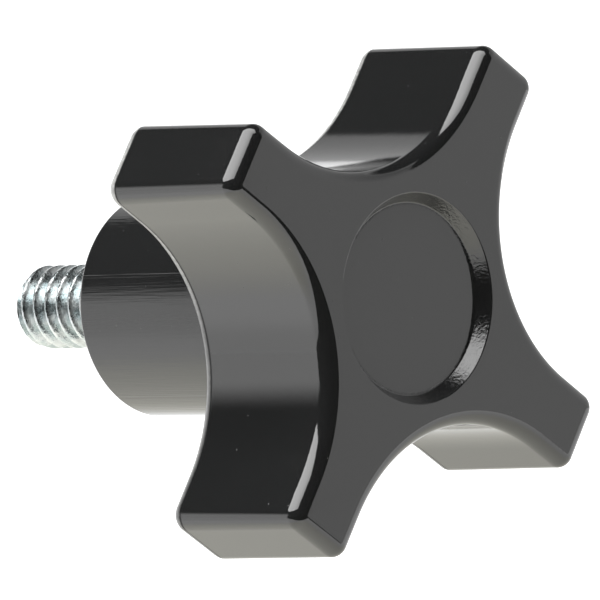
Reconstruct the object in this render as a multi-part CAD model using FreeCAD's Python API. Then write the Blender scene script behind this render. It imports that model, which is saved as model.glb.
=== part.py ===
import FreeCAD, Part

import math
import os

# A four-arm clamping knob with a threaded stud, as it sits on an upright panel.
# The stud's axis is Y: the stud points along +Y, and the knob's face looks along -Y.
# The origin is on the axis, in the hub's seating face. The arms lie on the diagonals of X and Z.
# All sizes are in millimetres.

# Arms, measured at the front face before its edge is rounded
arm_count = 4
across_arms = 40.0
arm_thickness = 12.95
side_straight_length = 2.6
side_taper_degrees = 0.4
draft_degrees = 1.0
front_edge_round = 1.05
back_edge_round = 1.15
tip_corner_beyond_round = 0.1

# Hub
hub_diameter = 16.6
hub_length = 13.8
hub_end_round = 0.3
hub_root_round = 0.4
ledge_beyond_hub = 1.5

# Round recess in the front face
recess_mouth_diameter = 15.2
recess_wall_inset = 0.65
recess_depth = 1.0
recess_mouth_round = 0.12

# Stud, with a 1/4-20 thread drawn plain at its outer diameter
thread_diameter = 6.25
thread_pitch = 1.27
stud_reach = 13.0
stud_end_chamfer = 0.6
anchor_sides = 6
anchor_across_flats = 11.1
anchor_thickness = 4.0
anchor_depth = 14.5

# Places that follow from the sizes above
hub_radius = hub_diameter / 2
thread_radius = thread_diameter / 2
thread_height_to_pitch_line = 3 * math.sqrt(3) / 16 * thread_pitch
shank_radius = thread_radius - thread_height_to_pitch_line
arms_back = -hub_length
arms_front = arms_back - arm_thickness
draft_growth = arm_thickness * math.tan(math.radians(draft_degrees))
tip_corner_radius = front_edge_round + tip_corner_beyond_round
valley_floor_radius = hub_radius + ledge_beyond_hub
turn_per_arm = 360.0 / arm_count
first_arm_degrees = turn_per_arm / 2

STUD_AXIS = FreeCAD.Vector(0, 1, 0)


def turned(across, along, degrees, depth):
    """A point given along and across an arm, turned about the stud's axis to that arm's place."""
    angle = math.radians(degrees)
    side = along * math.cos(angle) - across * math.sin(angle)
    up = along * math.sin(angle) + across * math.cos(angle)
    return FreeCAD.Vector(side, depth, up)


def valley_arc_radius(tangent_along, side_angle):
    """Radius of the arc between two arms, which meets their straight sides without a corner."""
    half_turn = math.radians(turn_per_arm / 2)
    reach = tangent_along - valley_floor_radius * math.cos(half_turn)
    return reach / (math.cos(half_turn) - math.cos(side_angle))


def arms_outline(depth, growth):
    """Closed outline of the arms at one depth, moved outward everywhere by the growth."""
    half_turn = math.radians(turn_per_arm / 2)
    side_angle = math.radians(90.0 - side_taper_degrees)
    corner_along = across_arms / 2 - tip_corner_radius
    side_step_along = side_straight_length * math.sin(side_angle)
    tangent_along = corner_along + tip_corner_radius * math.cos(side_angle) - side_step_along
    arc_radius = valley_arc_radius(tangent_along, side_angle)
    arc_centre = valley_floor_radius + arc_radius
    tangent_across = arc_centre * math.sin(half_turn) - arc_radius * math.sin(side_angle)
    side_step_across = side_straight_length * math.cos(side_angle)
    corner_across = tangent_across - side_step_across - tip_corner_radius * math.sin(side_angle)
    corner_radius = tip_corner_radius + growth
    valley_radius = arc_radius - growth

    def on_corner(angle, side):
        along = corner_along + corner_radius * math.cos(angle)
        across = corner_across + corner_radius * math.sin(angle)
        return side * across, along

    def on_valley(side):
        along = arc_centre * math.cos(half_turn) - valley_radius * math.cos(side_angle)
        across = arc_centre * math.sin(half_turn) - valley_radius * math.sin(side_angle)
        return side * across, along

    edges = []
    for index in range(arm_count):
        here = first_arm_degrees + index * turn_per_arm
        after = here + turn_per_arm

        def arm_point(place, degrees=here):
            return turned(place[0], place[1], degrees, depth)

        near_valley = arm_point(on_valley(-1))
        near_side = arm_point(on_corner(side_angle, -1))
        near_middle = arm_point(on_corner(side_angle / 2, -1))
        near_tip = arm_point(on_corner(0, -1))
        far_tip = arm_point(on_corner(0, 1))
        far_middle = arm_point(on_corner(side_angle / 2, 1))
        far_side = arm_point(on_corner(side_angle, 1))
        far_valley = arm_point(on_valley(1))
        valley_floor = turned(0, arc_centre - valley_radius, here + turn_per_arm / 2, depth)
        next_valley = arm_point(on_valley(-1), after)
        edges.append(Part.LineSegment(near_valley, near_side).toShape())
        edges.append(Part.Arc(near_side, near_middle, near_tip).toShape())
        edges.append(Part.LineSegment(near_tip, far_tip).toShape())
        edges.append(Part.Arc(far_tip, far_middle, far_side).toShape())
        edges.append(Part.LineSegment(far_side, far_valley).toShape())
        edges.append(Part.Arc(far_valley, valley_floor, next_valley).toShape())
    return Part.Wire(edges)


def edges_in_plane(shape, depth):
    """The edges that lie wholly in the plane across the axis at this depth."""
    tolerance = 1e-4
    found = []
    for edge in shape.Edges:
        box = edge.BoundBox
        if abs(box.YMin - depth) < tolerance and abs(box.YMax - depth) < tolerance:
            found.append(edge)
    return found


def circles_at(shape, depth, radius):
    """The round edges of one radius about the axis at this depth."""
    tolerance = 1e-4
    found = []
    for edge in edges_in_plane(shape, depth):
        curve = edge.Curve
        if isinstance(curve, Part.Circle) and abs(curve.Radius - radius) < tolerance:
            found.append(edge)
    return found


def cylinder(radius, start, end):
    """A plain cylinder on the stud's axis between two depths."""
    return Part.makeCylinder(radius, end - start, FreeCAD.Vector(0, start, 0), STUD_AXIS)


def cone(start_radius, end_radius, start, end):
    """A cone on the stud's axis between two depths."""
    return Part.makeCone(start_radius, end_radius, end - start, FreeCAD.Vector(0, start, 0), STUD_AXIS)


def arms():
    """The four arms: wider towards the back by the mould's draft, with both outlines rounded."""
    front = arms_outline(arms_front, 0.0)
    back = arms_outline(arms_back, draft_growth)
    block = Part.makeLoft([front, back], True, True)
    block = block.makeFillet(front_edge_round, edges_in_plane(block, arms_front))
    return block.makeFillet(back_edge_round, edges_in_plane(block, arms_back))


def hub():
    """The round hub behind the arms, rooted inside them and rounded at its seating edge."""
    root_depth = arms_back - arm_thickness / 2
    barrel = cylinder(hub_radius, root_depth, 0.0)
    return barrel.makeFillet(hub_end_round, circles_at(barrel, 0.0, hub_radius))


def recess():
    """The space of the front recess: its wall slopes in from the mouth to the flat floor."""
    mouth_radius = recess_mouth_diameter / 2
    floor_depth = arms_front + recess_depth
    return cone(mouth_radius, mouth_radius - recess_wall_inset, arms_front, floor_depth)


def anchor(start, end):
    """The six-sided head that holds the stud in the moulding."""
    turn_per_side = 360.0 / anchor_sides
    corner_radius = anchor_across_flats / 2 / math.cos(math.radians(turn_per_side / 2))
    corners = [turned(0, corner_radius, index * turn_per_side, start) for index in range(anchor_sides)]
    outline = Part.makePolygon(corners + corners[:1])
    return Part.Face(outline).extrude(FreeCAD.Vector(0, end - start, 0))


def stud_in_the_moulding():
    """The hidden part of the stud: a shank that narrows in from the seating face, and its anchor."""
    shank = cylinder(shank_radius, -anchor_depth, 0.0)
    narrowing = cone(shank_radius, thread_radius, shank_radius - thread_radius, 0.0)
    head = anchor(-anchor_depth - anchor_thickness, -anchor_depth)
    return shank.fuse([narrowing, head]).removeSplitter()


def knob_head():
    """Arms and hub as one moulding, with the recess and the space that the stud fills."""
    body = arms().fuse(hub()).removeSplitter()
    body = body.makeFillet(hub_root_round, circles_at(body, arms_back, hub_radius))
    body = body.cut(recess())
    body = body.makeFillet(recess_mouth_round, circles_at(body, arms_front, recess_mouth_diameter / 2))
    return body.cut(stud_in_the_moulding())


def threaded_stud():
    """The steel stud: its exposed length with a chamfered end, and what the moulding hides."""
    threaded = cylinder(thread_radius, 0.0, stud_reach)
    threaded = threaded.makeChamfer(stud_end_chamfer, circles_at(threaded, stud_reach, thread_radius))
    return threaded.fuse(stud_in_the_moulding()).removeSplitter()


def only_solid(shape):
    """The single solid inside a boolean result."""
    if len(shape.Solids) != 1:
        raise ValueError("expected one solid, found %d" % len(shape.Solids))
    return shape.Solids[0]


os.makedirs("parts", exist_ok=True)
for name, maker in {"knob_head": knob_head, "threaded_stud": threaded_stud}.items():
    solid = only_solid(maker())
    solid.exportStep(os.path.join("parts", name + ".step"))
    print(name, "volume %.1f mm3" % solid.Volume, "valid", solid.isValid())
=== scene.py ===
import math

import bpy
from mathutils import Matrix, Vector

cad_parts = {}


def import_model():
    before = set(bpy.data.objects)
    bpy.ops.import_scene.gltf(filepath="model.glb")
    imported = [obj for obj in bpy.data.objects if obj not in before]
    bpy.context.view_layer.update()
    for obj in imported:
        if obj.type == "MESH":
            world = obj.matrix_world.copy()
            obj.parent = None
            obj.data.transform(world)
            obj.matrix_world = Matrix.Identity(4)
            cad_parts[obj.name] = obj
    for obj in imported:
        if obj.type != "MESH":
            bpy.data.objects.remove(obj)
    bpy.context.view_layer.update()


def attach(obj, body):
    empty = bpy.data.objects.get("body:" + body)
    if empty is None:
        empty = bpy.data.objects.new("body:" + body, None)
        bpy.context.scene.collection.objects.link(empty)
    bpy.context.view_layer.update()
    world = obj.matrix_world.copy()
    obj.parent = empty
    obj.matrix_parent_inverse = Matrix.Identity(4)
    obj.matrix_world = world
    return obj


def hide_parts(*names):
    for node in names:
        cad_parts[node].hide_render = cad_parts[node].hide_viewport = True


# A four-arm clamping knob with a threaded stud, as it sits on an upright panel.
# The stud's axis is Y: the stud points along +Y, and the knob's face looks along -Y.

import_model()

MM = 0.001

# Arms, in millimetres, measured at the front face before its edge is rounded
arm_count = 4
across_arms = 40.0
arm_thickness = 12.95
side_straight_length = 2.6
side_taper = math.radians(0.4)
draft = math.radians(1.0)
front_edge_round = 1.05
back_edge_round = 1.15
tip_corner_radius = 1.15

# Hub, in millimetres
hub_diameter = 16.6
hub_length = 13.8
hub_end_round = 0.3
hub_root_round = 0.4
ledge_beyond_hub = 1.5

# Round recess in the front face, in millimetres
recess_mouth_diameter = 15.2
recess_wall_inset = 0.65
recess_depth = 1.0
recess_mouth_round = 0.12
recess_floor_round = 0.15

# Stud with its helical thread, in millimetres
thread_diameter = 6.25
thread_pitch = 1.27
thread_depth = 0.78
crest_share_of_pitch = 0.14
root_share_of_pitch = 0.16
flank_curve = 0.35
stud_reach = 13.0
stud_end_chamfer = 0.6
shank_radius = thread_diameter / 2 - 3 * math.sqrt(3) / 16 * thread_pitch
anchor_sides = 6
anchor_across_flats = 11.1
anchor_thickness = 4.0
anchor_depth = 14.5

# How finely the forms are cut
tip_steps = 6
corner_steps = 10
side_steps = 5
valley_steps = 72
round_steps = 10
stud_steps_around = 120
stud_steps_per_turn = 26
stud_sharp_angle = math.radians(32.0)

# Studio, in metres
floor_height = -0.25
card_height = 0.8
wall_height = 0.6

# Places that follow
arms_back = -hub_length
arms_front = arms_back - arm_thickness
turn_per_arm = 2 * math.pi / arm_count
quarter_turn = math.pi / 2
narrowing_depth = thread_diameter / 2 - shank_radius
side_angle = quarter_turn - side_taper
valley_floor_radius = hub_diameter / 2 + ledge_beyond_hub


def outline():
    """The arms' outline at the front face: places and outward directions, all the way round."""
    half_turn = turn_per_arm / 2
    corner_along = across_arms / 2 - tip_corner_radius
    side_along = side_straight_length * math.sin(side_angle)
    tangent_along = corner_along + tip_corner_radius * math.cos(side_angle) - side_along
    reach = tangent_along - valley_floor_radius * math.cos(half_turn)
    arc_radius = reach / (math.cos(half_turn) - math.cos(side_angle))
    arc_centre = valley_floor_radius + arc_radius
    tangent_across = arc_centre * math.sin(half_turn) - arc_radius * math.sin(side_angle)
    side_across = side_straight_length * math.cos(side_angle)
    corner_across = tangent_across - side_across - tip_corner_radius * math.sin(side_angle)

    def corner(angle):
        away = Vector((math.sin(angle), math.cos(angle)))
        return Vector((corner_across, corner_along)) + tip_corner_radius * away, away

    half_arm = []
    for step in range(tip_steps // 2):
        across = corner_across * step / (tip_steps // 2)
        half_arm.append((Vector((across, across_arms / 2)), Vector((0.0, 1.0))))
    for step in range(corner_steps):
        half_arm.append(corner(side_angle * step / corner_steps))
    side_start, side_away = corner(side_angle)
    side_end = Vector((tangent_across, tangent_along))
    for step in range(side_steps):
        half_arm.append((side_start.lerp(side_end, step / side_steps), side_away))
    valley_centre = Vector((math.sin(half_turn), math.cos(half_turn))) * arc_centre
    for step in range(valley_steps // 2):
        angle = side_angle + (half_turn - side_angle) * step / (valley_steps // 2)
        away = Vector((math.sin(angle), math.cos(angle)))
        half_arm.append((valley_centre - arc_radius * away, away))
    floor_away = Vector((math.sin(half_turn), math.cos(half_turn)))
    valley_floor = (floor_away * valley_floor_radius, floor_away)

    def mirrored(place):
        return Vector((-place[0].x, place[0].y)), Vector((-place[1].x, place[1].y))

    arm = [mirrored(place) for place in reversed(half_arm[1:])] + half_arm + [valley_floor]
    whole = []
    for index in range(arm_count):
        turn = Matrix.Rotation(-turn_per_arm * (index + 0.5), 2)
        for place, away in arm:
            whole.append((turn @ place, turn @ away))
    return whole


def outward(away, tilt):
    """A surface's direction: away from the axis, tilted towards the front by an angle."""
    return Vector((away.x * math.cos(tilt), -math.sin(tilt), away.y * math.cos(tilt)))


def arm_ring(places, growth, depth, tilt):
    """The arms' outline, moved outward by the growth, at one depth: its points and directions."""
    points = []
    for place, away in places:
        grown = place + away * growth
        points.append(Vector((grown.x, depth, grown.y)) * MM)
    return points, [outward(away, tilt) for _, away in places]


def round_ring(places, radius, depth, tilt=0.0):
    """A circle with its points in the same directions as the outline's."""
    rays = [place.normalized() for place, _ in places]
    points = [Vector((ray.x * radius, depth, ray.y * radius)) * MM for ray in rays]
    return points, [outward(ray, tilt) for ray in rays]


def polygon_ring(places, across_flats, sides, depth, tilt=0.0):
    """A regular polygon with its points in the same directions as the outline's."""
    points = []
    turn_per_side = 2 * math.pi / sides
    rays = [place.normalized() for place, _ in places]
    for ray in rays:
        angle = math.atan2(ray.y, ray.x) % turn_per_side - turn_per_side / 2
        radius = across_flats / 2 / math.cos(angle)
        points.append(Vector((ray.x * radius, depth, ray.y * radius)) * MM)
    return points, [outward(ray, tilt) for ray in rays]


def arc(start, end, steps=round_steps):
    """Angles from the start to the end, both included."""
    return [start + (end - start) * step / steps for step in range(steps + 1)]


def arm_section():
    """Growth, depth and tilt of the arms' rings, from the front face over the side to the back."""
    slope = math.tan(draft)

    def centre_growth(depth, radius):
        return (depth - arms_front) * slope - radius / math.cos(draft)

    def on_round(growth, depth, radius, tilt):
        return growth + radius * math.cos(tilt), depth - radius * math.sin(tilt), tilt

    front_centre = arms_front + front_edge_round
    front_growth = centre_growth(front_centre, front_edge_round)
    back_centre = arms_back - back_edge_round
    back_growth = centre_growth(back_centre, back_edge_round)
    section = []
    for tilt in arc(quarter_turn, draft):
        section.append(on_round(front_growth, front_centre, front_edge_round, tilt))
    for tilt in arc(draft, -quarter_turn):
        section.append(on_round(back_growth, back_centre, back_edge_round, tilt))
    return section


def recess_section():
    """Radius, depth and tilt of the recess's rings, from its floor's middle out to the front face."""
    mouth_radius = recess_mouth_diameter / 2
    floor_radius = mouth_radius - recess_wall_inset
    floor = arms_front + recess_depth
    wall_tilt = math.pi - math.atan2(recess_wall_inset, recess_depth)
    half_bend = math.tan((wall_tilt - quarter_turn) / 2)
    section = [(floor_radius / 2, floor, quarter_turn)]
    foot_radius = floor_radius - recess_floor_round * half_bend
    foot_depth = floor - recess_floor_round
    for tilt in arc(quarter_turn, wall_tilt):
        radius = foot_radius - recess_floor_round * math.cos(tilt)
        section.append((radius, foot_depth + recess_floor_round * math.sin(tilt), tilt))
    lip_radius = mouth_radius + recess_mouth_round * half_bend
    lip_depth = arms_front + recess_mouth_round
    for tilt in arc(wall_tilt, quarter_turn):
        radius = lip_radius + recess_mouth_round * math.cos(tilt)
        section.append((radius, lip_depth - recess_mouth_round * math.sin(tilt), tilt))
    return section


def hub_section():
    """Radius, depth and tilt of the hub's rings, from the back of the arms to the seating face."""
    hub_radius = hub_diameter / 2
    section = []
    for tilt in arc(-quarter_turn, 0.0):
        radius = hub_radius + hub_root_round * (1 - math.cos(tilt))
        section.append((radius, arms_back + hub_root_round * (1 + math.sin(tilt)), tilt))
    for tilt in arc(0.0, -quarter_turn):
        radius = hub_radius - hub_end_round * (1 - math.cos(tilt))
        section.append((radius, -hub_end_round - hub_end_round * math.sin(tilt), tilt))
    section.append((thread_diameter / 2, 0.0, -quarter_turn))
    section.append((shank_radius, -narrowing_depth, math.pi))
    section.append((shank_radius, -anchor_depth, math.pi))
    return section


def lofted(name, rings):
    """One closed mesh through rings of points, drawn together to a point at each end.

    Returns the piece and, for each corner of each face, the direction that its ring gives.
    Two rings at one place share their points, which makes a sharp edge there.
    """
    points = []
    starts = []
    for index, (ring, _) in enumerate(rings):
        repeats = index > 0 and ring == rings[index - 1][0]
        starts.append(starts[-1] if repeats else len(points))
        points.extend([] if repeats else ring)
    count = len(rings[0][0])
    last = len(rings) - 1
    faces = []
    directions = []

    def add_face(corners, middle=()):
        faces.append([starts[ring] + place for ring, place in corners] + list(middle))
        directions.extend(rings[ring][1][place] for ring, place in corners)

    for index in range(count):
        after = (index + 1) % count
        for ring in range(last):
            if starts[ring] != starts[ring + 1]:
                add_face([(ring, index), (ring, after), (ring + 1, after), (ring + 1, index)])
        for ring, corners, middle in (
            (0, [(0, after), (0, index)], len(points)),
            (last, [(last, index), (last, after)], len(points) + 1),
        ):
            add_face(corners, [middle])
            directions.append(rings[ring][1][index])
    for ring, _ in (rings[0], rings[last]):
        points.append(sum(ring, Vector()) / count)
    mesh = bpy.data.meshes.new(name)
    mesh.from_pydata(points, [], faces)
    mesh.shade_smooth()
    piece = bpy.data.objects.new(name, mesh)
    bpy.context.scene.collection.objects.link(piece)
    return piece, directions


def knob_head():
    """Arms, hub and recess as one moulding, with the space that the stud fills."""
    places = outline()
    rings = [round_ring(places, *ring) for ring in recess_section()]
    rings += [arm_ring(places, *ring) for ring in arm_section()]
    rings += [round_ring(places, *ring) for ring in hub_section()]
    for depth in (-anchor_depth, -anchor_depth - anchor_thickness):
        rings.append(polygon_ring(places, anchor_across_flats, anchor_sides, depth, math.pi))
    piece, directions = lofted("moulded_head", rings)
    piece.data.normals_split_custom_set(directions)
    return piece


def thread_radius(turn_share):
    """Radius of the thread at a place in its turn: 0 and 1 are roots, 0.5 is the crest's middle."""
    from_crest = abs(turn_share - 0.5)
    flank_start = crest_share_of_pitch / 2
    flank_end = 0.5 - root_share_of_pitch / 2
    share = min(max((from_crest - flank_start) / (flank_end - flank_start), 0.0), 1.0)
    eased = share + flank_curve * share * (1 - share) * (2 * share - 1)
    return thread_diameter / 2 - thread_depth * eased


def threaded_stud():
    """The stud: helical thread, chamfered end, and the shank and anchor inside the moulding."""
    rays = []
    for index in range(stud_steps_around):
        angle = 2 * math.pi * index / stud_steps_around
        rays.append(Vector((math.sin(angle), math.cos(angle))))
    places = [(ray, ray) for ray in rays]
    rings = []
    for depth in (-anchor_depth - anchor_thickness, -anchor_depth):
        rings.append(polygon_ring(places, anchor_across_flats, anchor_sides, depth))
    rings.append(round_ring(places, shank_radius, -anchor_depth))
    rings.append(round_ring(places, shank_radius, -narrowing_depth))
    steps = round(stud_reach / thread_pitch * stud_steps_per_turn)
    for step in range(steps + 1):
        depth = stud_reach * step / steps
        end_limit = thread_diameter / 2 - stud_end_chamfer + stud_reach - depth
        ring = []
        for index, ray in enumerate(rays):
            turn_share = (depth / thread_pitch - index / stud_steps_around) % 1.0
            radius = min(thread_radius(turn_share), end_limit)
            ring.append(Vector((ray.x * radius, depth, ray.y * radius)) * MM)
        rings.append((ring, [outward(ray, 0.0) for ray in rays]))
    piece, _ = lofted("rolled_thread_stud", rings)
    piece.data.set_sharp_from_angle(angle=stud_sharp_angle)
    return piece


def combined(tree, operation, *values):
    """One step of arithmetic on numbers and node outputs."""
    step = tree.nodes.new("ShaderNodeMath")
    step.operation = operation
    for socket, value in zip(step.inputs, values):
        if isinstance(value, bpy.types.NodeSocket):
            tree.links.new(value, socket)
        else:
            socket.default_value = value
    return step.outputs["Value"]


def scaled(tree, amount, share, size):
    """An amount times a share and a size."""
    return combined(tree, "MULTIPLY", combined(tree, "MULTIPLY", amount, share), size)


def total(tree, amounts):
    """The sum of all the amounts."""
    whole = amounts[0]
    for amount in amounts[1:]:
        whole = combined(tree, "ADD", whole, amount)
    return whole


def faded(tree, amount, start, end, start_value=0.0, end_value=1.0):
    """Turns an amount between a start and an end into a value that changes softly."""
    fade = tree.nodes.new("ShaderNodeMapRange")
    fade.interpolation_type = "SMOOTHSTEP"
    fade.inputs["From Min"].default_value = start
    fade.inputs["From Max"].default_value = end
    fade.inputs["To Min"].default_value = start_value
    fade.inputs["To Max"].default_value = end_value
    tree.links.new(amount, fade.inputs["Value"])
    return fade.outputs["Result"]


def places_in_mm(tree):
    """Where a point lies in the knob's frame, in millimetres: the whole place, and X, Y and Z."""
    place = tree.nodes.new("ShaderNodeTexCoord")
    in_mm = tree.nodes.new("ShaderNodeVectorMath")
    in_mm.operation = "SCALE"
    in_mm.inputs["Scale"].default_value = 1 / MM
    tree.links.new(place.outputs["Object"], in_mm.inputs[0])
    parts = tree.nodes.new("ShaderNodeSeparateXYZ")
    tree.links.new(in_mm.outputs["Vector"], parts.inputs[0])
    return in_mm.outputs["Vector"], parts.outputs["X"], parts.outputs["Y"], parts.outputs["Z"]


def grain(tree, place, across, along, detail=2.0):
    """Noise from -0.5 to 0.5 with grains of one size across the stud's axis and one along it."""
    stretched = tree.nodes.new("ShaderNodeVectorMath")
    stretched.operation = "DIVIDE"
    stretched.inputs[1].default_value = (across, along, across)
    tree.links.new(place, stretched.inputs[0])
    noise = tree.nodes.new("ShaderNodeTexNoise")
    noise.inputs["Scale"].default_value = 1.0
    noise.inputs["Detail"].default_value = detail
    tree.links.new(stretched.outputs["Vector"], noise.inputs["Vector"])
    return combined(tree, "SUBTRACT", noise.outputs["Fac"], 0.5)


def specks(tree, place, spacing, size, share):
    """Small round spots: 1 inside a spot, in a share of the cells of this spacing."""
    cells = tree.nodes.new("ShaderNodeTexVoronoi")
    cells.inputs["Scale"].default_value = 1 / spacing
    tree.links.new(place, cells.inputs["Vector"])
    near = faded(tree, cells.outputs["Distance"], size / spacing, size / spacing / 2)
    chance = tree.nodes.new("ShaderNodeSeparateColor")
    tree.links.new(cells.outputs["Color"], chance.inputs["Color"])
    chosen = combined(tree, "LESS_THAN", chance.outputs["Red"], share)
    return combined(tree, "MULTIPLY", near, chosen)


def raised(tree, shader, height_in_microns):
    """Gives a material its fine relief."""
    bump = tree.nodes.new("ShaderNodeBump")
    bump.inputs["Strength"].default_value = 1.0
    bump.inputs["Distance"].default_value = MM / 1000
    tree.links.new(height_in_microns, bump.inputs["Height"])
    tree.links.new(bump.outputs["Normal"], shader.inputs["Normal"])


def blended(tree, share, first, second):
    """A colour between two others."""
    ramp = tree.nodes.new("ShaderNodeValToRGB")
    ramp.color_ramp.elements[0].color = (*first, 1.0)
    ramp.color_ramp.elements[1].color = (*second, 1.0)
    tree.links.new(share, ramp.inputs["Fac"])
    return ramp.outputs["Color"]


def mould_lines(tree, x, z):
    """Hair lines along the hub where the mould was finished: their height, raised or sunk."""
    half_width = math.radians(0.9)
    height_at_degrees = {150.3: 0.9, 151.7: 0.45, -139.0: -0.35}
    angle = combined(tree, "ARCTAN2", z, x)
    lines = []
    for degrees, height in height_at_degrees.items():
        away = combined(tree, "ABSOLUTE", combined(tree, "SUBTRACT", angle, math.radians(degrees)))
        lines.append(faded(tree, away, half_width, 0.0, 0.0, height))
    return total(tree, lines)


def parting_line(tree, y):
    """The faint groove where the two halves of the mould met, at the foot of the back edge's round."""
    half_width = 0.2
    away = combined(tree, "SUBTRACT", y, arms_back - back_edge_round)
    return faded(tree, combined(tree, "ABSOLUTE", away), half_width, 0.0)


def dull_rim_with_painted_highlight(tree, y):
    """Share of the rim on the back edge's round where the moulding was trimmed: duller, and carrying a
    painted highlight.
    """
    start = arms_back - back_edge_round
    full_from = start + 0.1
    full_until = start + 0.6
    end = start + 0.85
    inside = faded(tree, y, start, full_from)
    return combined(tree, "MULTIPLY", inside, faded(tree, y, full_until, end, 1.0, 0.0))


def rough_recess_wall(tree, x, y, z):
    """Share of the rough cut surface: the recess's wall and the narrow edge of its floor."""
    allowance = 0.01
    just_past_floor = arms_front + recess_depth + allowance
    square = combined(tree, "MULTIPLY_ADD", x, x, combined(tree, "MULTIPLY", z, z))
    radius = combined(tree, "SQRT", square)
    wall_middle = recess_mouth_diameter / 2 - recess_wall_inset / 2
    from_wall = combined(tree, "ABSOLUTE", combined(tree, "SUBTRACT", radius, wall_middle))
    near_wall = faded(tree, from_wall, recess_wall_inset, recess_wall_inset / 2)
    below_face = combined(tree, "GREATER_THAN", y, arms_front + recess_mouth_round / 2)
    above_floor = combined(tree, "LESS_THAN", y, just_past_floor)
    return scaled(tree, near_wall, below_face, above_floor)


def plastic_zones(tree, place, x, y, z):
    """The moulding's different surfaces, each as a share from 0 to 1."""
    surface = tree.nodes.new("ShaderNodeNewGeometry")
    facing = tree.nodes.new("ShaderNodeSeparateXYZ")
    tree.links.new(surface.outputs["Normal"], facing.inputs[0])
    side = combined(tree, "SUBTRACT", 1.0, combined(tree, "ABSOLUTE", facing.outputs["Y"]))
    hub = combined(tree, "GREATER_THAN", y, arms_back)
    return {
        "side": side,
        "hub": hub,
        "arms": combined(tree, "SUBTRACT", side, hub),
        "wall": rough_recess_wall(tree, x, y, z),
        "groove": parting_line(tree, y),
        "rim": dull_rim_with_painted_highlight(tree, y),
        "dust": specks(tree, place, spacing=0.7, size=0.06, share=0.18),
    }


def plastic_relief(tree, place, x, z, zones):
    """Height of the moulding's fine relief, in microns."""
    mottling = grain(tree, place, across=0.5, along=0.5)
    hub_drag = grain(tree, place, across=0.13, along=5.0, detail=3.0)
    arms_drag = grain(tree, place, across=1.1, along=0.12, detail=3.0)
    cut_marks = grain(tree, place, across=0.2, along=0.2, detail=4.0)
    mottling_height = 2.5
    hub_drag_height = 15.0
    arms_drag_height = 3.2
    cut_height = 30.0
    mould_line_height = 20.0
    groove_height = -5.0
    dust_height = 3.0
    return total(tree, [
        combined(tree, "MULTIPLY", mottling, mottling_height),
        scaled(tree, hub_drag, zones["hub"], hub_drag_height),
        scaled(tree, arms_drag, zones["arms"], arms_drag_height),
        scaled(tree, cut_marks, zones["wall"], cut_height),
        scaled(tree, mould_lines(tree, x, z), zones["hub"], mould_line_height),
        scaled(tree, zones["groove"], zones["side"], groove_height),
        combined(tree, "MULTIPLY", zones["dust"], dust_height),
    ])


def plastic_colour(tree, place, z, zones):
    """Black all over, with grey dust, and a pale painted highlight on the trimmed rim that is brighter
    towards the top, as light from above would make it.
    """
    black = (0.0195, 0.02, 0.02)
    dust_and_highlight_grey = (0.48, 0.48, 0.47)
    dust_paleness = 0.15
    rim_highlight_level = 0.6
    rim_change = 1.5
    rim_top = 7.5
    least_rim_highlight = 0.2
    most_rim_highlight = 1.15
    uneven = grain(tree, place, across=0.4, along=0.4, detail=3.0)
    # The rim's paleness is a painted highlight, made paler towards the top as painted light from above.
    rim = combined(tree, "MULTIPLY_ADD", uneven, rim_change, rim_highlight_level)
    highlight_towards_top = faded(tree, z, 0.0, rim_top, least_rim_highlight, most_rim_highlight)
    dust = combined(tree, "MULTIPLY", zones["dust"], dust_paleness)
    pale = combined(tree, "MAXIMUM", scaled(tree, rim, zones["rim"], highlight_towards_top), dust)
    return blended(tree, pale, black, dust_and_highlight_grey)


def plastic_roughness(tree, place, zones):
    """Polished all over, and duller on the recess's wall, the rim and the dust."""
    polished = 0.06
    cloud_change = 0.05
    wall_adds = 0.06
    rim_adds = 0.25
    dust_adds = 0.18
    cloud = grain(tree, place, across=3.0, along=6.0, detail=3.0)
    return total(tree, [
        combined(tree, "MULTIPLY_ADD", cloud, cloud_change, polished),
        combined(tree, "MULTIPLY", zones["wall"], wall_adds),
        combined(tree, "MULTIPLY", zones["rim"], rim_adds),
        combined(tree, "MULTIPLY", zones["dust"], dust_adds),
    ])


def plastic_shine(tree, zones):
    """Strength of the mirroring: nearly none in the groove, as painted shade in the crease, and a
    little less on the hub.
    """
    full_shine = 0.5
    groove_painted_shade = -0.45
    hub_loss = -0.08
    # Taking the mirroring out of the parting groove paints shade into it.
    outside_groove = combined(tree, "MULTIPLY_ADD", zones["groove"], groove_painted_shade, full_shine)
    return combined(tree, "MULTIPLY_ADD", zones["hub"], hub_loss, outside_groove)


def black_plastic():
    """Glossy black thermoset moulding."""
    mirroring_index = 1.8
    material = bpy.data.materials.new("black_plastic")
    material.use_nodes = True
    tree = material.node_tree
    shader = tree.nodes["Principled BSDF"]
    place, x, y, z = places_in_mm(tree)
    zones = plastic_zones(tree, place, x, y, z)
    raised(tree, shader, plastic_relief(tree, place, x, z, zones))
    tree.links.new(plastic_colour(tree, place, z, zones), shader.inputs["Base Color"])
    tree.links.new(plastic_roughness(tree, place, zones), shader.inputs["Roughness"])
    tree.links.new(plastic_shine(tree, zones), shader.inputs["Specular IOR Level"])
    shader.inputs["IOR"].default_value = mirroring_index
    return material


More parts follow.
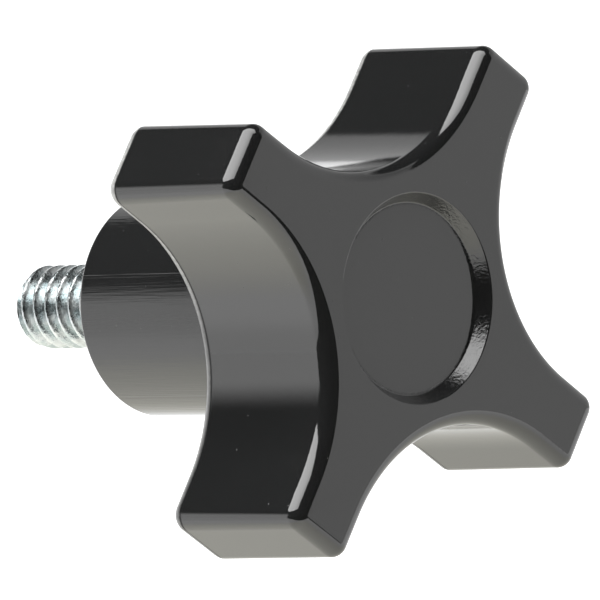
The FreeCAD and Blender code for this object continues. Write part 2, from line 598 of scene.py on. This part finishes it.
def zinc_steel():
    """Bright zinc plating over a rolled thread, with a bluish cloud, dents and fine roll marks."""
    dent_height = 30.0
    roll_mark_height = 2.0
    blue_grey = (0.46, 0.52, 0.53)
    bright_zinc = (0.72, 0.745, 0.745)
    least_roughness = 0.2
    cloud_roughness = 0.12
    cloud_contrast = 0.2
    material = bpy.data.materials.new("zinc_steel")
    material.use_nodes = True
    tree = material.node_tree
    shader = tree.nodes["Principled BSDF"]
    place, _, _, _ = places_in_mm(tree)
    dents = grain(tree, place, across=0.26, along=0.18, detail=3.0)
    roll_marks = grain(tree, place, across=1.2, along=0.06)
    raised(tree, shader, total(tree, [
        combined(tree, "MULTIPLY", dents, dent_height),
        combined(tree, "MULTIPLY", roll_marks, roll_mark_height),
    ]))
    uneven = grain(tree, place, across=0.8, along=0.6, detail=3.0)
    cloud = faded(tree, uneven, -cloud_contrast, cloud_contrast)
    tree.links.new(blended(tree, cloud, blue_grey, bright_zinc), shader.inputs["Base Color"])
    shader.inputs["Metallic"].default_value = 1.0
    roughness = combined(tree, "MULTIPLY_ADD", cloud, cloud_roughness, least_roughness)
    tree.links.new(roughness, shader.inputs["Roughness"])
    return material


def camera():
    """A long lens from the front left, a little above the knob and tilted as the photograph is."""
    azimuth = math.radians(-43.64)
    elevation = math.radians(9.44)
    roll = math.radians(-11.09)
    distance = 564.8
    aim_beside_face = -8.44
    aim_below_face = -0.1
    sensor = 36.0
    focal_length = 473.66
    level_right = Vector((math.cos(azimuth), math.sin(azimuth), 0.0))
    toward = Vector((
        math.sin(azimuth) * math.cos(elevation),
        -math.cos(azimuth) * math.cos(elevation),
        math.sin(elevation),
    ))
    level_up = toward.cross(level_right)
    right = level_right * math.cos(roll) + level_up * math.sin(roll)
    up = toward.cross(right)
    aim = Vector((0.0, arms_front, 0.0)) + right * aim_beside_face + up * aim_below_face
    data = bpy.data.cameras.new("camera")
    data.sensor_width = sensor
    data.lens = focal_length
    data.clip_end = 20.0
    viewer = bpy.data.objects.new("camera", data)
    facing = Matrix((right, up, toward)).transposed().to_4x4()
    viewer.matrix_world = Matrix.Translation((aim + toward * distance) * MM) @ facing
    bpy.context.scene.collection.objects.link(viewer)
    bpy.context.scene.camera = viewer


def stage_material(name):
    """A dull black studio surface that gives off no light until its glow is set."""
    material = bpy.data.materials.new(name)
    material.use_nodes = True
    shader = material.node_tree.nodes["Principled BSDF"]
    shader.inputs["Base Color"].default_value = (0.0, 0.0, 0.0, 1.0)
    shader.inputs["Roughness"].default_value = 1.0
    shader.inputs["Specular IOR Level"].default_value = 0.0
    shader.inputs["Emission Color"].default_value = (1.0, 1.0, 1.0, 1.0)
    shader.inputs["Emission Strength"].default_value = 0.0
    return material


def set_glow(material, glow):
    """Links a stage material's brightness to what its nodes work out."""
    tree = material.node_tree
    tree.links.new(glow, tree.nodes["Principled BSDF"].inputs["Emission Strength"])


def stage_plane(name, corners, material):
    """A flat studio surface through its corners."""
    mesh = bpy.data.meshes.new(name)
    mesh.from_pydata(corners, [], [tuple(range(len(corners)))])
    mesh.materials.append(material)
    plane = bpy.data.objects.new(name, mesh)
    bpy.context.scene.collection.objects.link(plane)
    return plane


def upright_card(name, start, end, top, material):
    """A card that stands on the floor from one place to another, and that the camera sees through."""
    corners = [(*start, floor_height), (*end, floor_height), (*end, top), (*start, top)]
    card = stage_plane(name, corners, material)
    card.visible_camera = False


def room_place(tree, axis="Z"):
    """How far a point lies along one of the room's axes, in metres."""
    place = tree.nodes.new("ShaderNodeNewGeometry")
    parts = tree.nodes.new("ShaderNodeSeparateXYZ")
    tree.links.new(place.outputs["Position"], parts.inputs[0])
    return parts.outputs[axis]


def floor():
    """A wide pale table below the knob, warmer near it, whose glow is painted light: weaker near the
    knob, with a faint strip of light.
    """
    half_width = 6.0
    glow_reach = 1.0
    near_glow = 0.43
    far_glow = 1.14
    strip_middle = -0.1
    strip_core = 0.03
    strip_half_width = 0.22
    strip_glow = 0.22
    warm_until = 0.36
    plain_from = 0.62
    warm_paper = (0.75, 0.73, 0.59)
    plain_paper = (0.73, 0.73, 0.73)
    material = stage_material("floor_paper")
    tree = material.node_tree
    place = tree.nodes.new("ShaderNodeNewGeometry")
    distance = tree.nodes.new("ShaderNodeVectorMath")
    distance.operation = "LENGTH"
    tree.links.new(place.outputs["Position"], distance.inputs[0])
    # The table gives off painted light, less near the knob and more far away.
    glow = faded(tree, distance.outputs["Value"], 0.0, glow_reach, near_glow, far_glow)
    beside_strip = combined(tree, "SUBTRACT", room_place(tree, "X"), strip_middle)
    beside_strip = combined(tree, "ABSOLUTE", beside_strip)
    strip = faded(tree, beside_strip, strip_half_width, strip_core, 0.0, strip_glow)
    set_glow(material, combined(tree, "ADD", glow, strip))
    plain = faded(tree, distance.outputs["Value"], warm_until, plain_from)
    colour = blended(tree, plain, warm_paper, plain_paper)
    tree.links.new(colour, tree.nodes["Principled BSDF"].inputs["Base Color"])
    corners = [(-1, -1), (1, -1), (1, 1), (-1, 1)]
    corners = [(x * half_width, y * half_width, floor_height) for x, y in corners]
    stage_plane("floor", corners, material)


def grey_wall_cloth():
    """A grey wall's glow, which is painted light: less towards its top, more behind the knob, white at
    its foot there.
    """
    foot_glow = 0.77
    top_glow = 0.45
    brighter_from = 0.2
    brighter_full_from = 0.5
    brighter_times = 1.4
    white_from = 0.3
    white_full_from = 0.45
    white_top = 0.25
    white_top_edge = 0.015
    white_adds = 0.9
    cloth = stage_material("grey_wall")
    tree = cloth.node_tree
    height = room_place(tree)
    back = room_place(tree, "Y")
    glow = faded(tree, height, 0.0, wall_height, foot_glow, top_glow)
    brighter = faded(tree, back, brighter_from, brighter_full_from, 1.0, brighter_times)
    glow = combined(tree, "MULTIPLY", glow, brighter)
    low_down = faded(tree, height, white_top, white_top - white_top_edge)
    white_foot = scaled(tree, low_down, faded(tree, back, white_from, white_full_from), white_adds)
    # The wall's glow and its white foot are painted light.
    set_glow(cloth, combined(tree, "ADD", glow, white_foot))
    return cloth


def card_row(name, corners, top, material):
    """Upright cards that follow one another from corner to corner."""
    for index, (start, end) in enumerate(zip(corners, corners[1:])):
        upright_card("%s_%d" % (name, index), start, end, top, material)


def studio():
    """A dark room in front and on the left, and a grey wall on the right."""
    room_corners = [(0.6, -0.70), (-1.3, -0.135), (-1.7, 0.14), (-4.0, 3.3)]
    wall_corners = [(0.75, -0.88), (0.88, 0.20), (0.32, 0.65), (-0.15, 0.95)]
    card_row("dark_room", room_corners, card_height, stage_material("dark_room"))
    card_row("grey_wall", wall_corners, wall_height, grey_wall_cloth())


def key_light():
    """A large softbox with cut corners, above the knob and to its left, dimmer towards the front."""
    height = 0.4
    front = -1.15 * height
    full_from = -0.1 * height
    front_glow = 2.3
    full_glow = 4.4
    corners_by_height = [
        (-1.33, 0.70), (-1.22, 0.98), (-0.62, 0.95), (-0.30, 0.83), (0.27, -0.50),
        (0.20, -1.13), (-0.10, -1.15), (-0.50, -0.70), (-1.02, -0.30), (-1.25, 0.35),
    ]
    cloth = stage_material("softbox_cloth")
    tree = cloth.node_tree
    set_glow(cloth, faded(tree, room_place(tree, "Y"), front, full_from, front_glow, full_glow))
    corners = [(x * height, y * height, height) for x, y in corners_by_height]
    softbox = stage_plane("softbox", corners, cloth)
    softbox.visible_camera = False


def world():
    """White surroundings low down, which fade into a dark ceiling that reaches lower on the left."""
    lean_left = -0.2
    fade_start = 0.31
    fade_end = 0.51
    low_glow = 1.22
    surroundings = bpy.data.worlds.new("surroundings")
    surroundings.use_nodes = True
    bpy.context.scene.world = surroundings
    tree = surroundings.node_tree
    direction = tree.nodes.new("ShaderNodeTexCoord")
    rise = tree.nodes.new("ShaderNodeVectorMath")
    rise.operation = "DOT_PRODUCT"
    rise.inputs[1].default_value = (lean_left, 0.0, 1.0)
    tree.links.new(direction.outputs["Generated"], rise.inputs[0])
    glow = faded(tree, rise.outputs["Value"], fade_start, fade_end, low_glow, 0.0)
    background = tree.nodes["Background"]
    background.inputs["Color"].default_value = (1.0, 1.0, 1.0, 1.0)
    tree.links.new(glow, background.inputs["Strength"])


def dress(piece, node, material):
    """Puts a finished piece in the place of a solid."""
    piece.data.materials.append(material)
    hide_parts(node)
    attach(piece, "root")


dress(knob_head(), "knob_head", black_plastic())
dress(threaded_stud(), "threaded_stud", zinc_steel())
camera()
floor()
studio()
key_light()
world()

bpy.context.scene.view_settings.view_transform = "Standard"
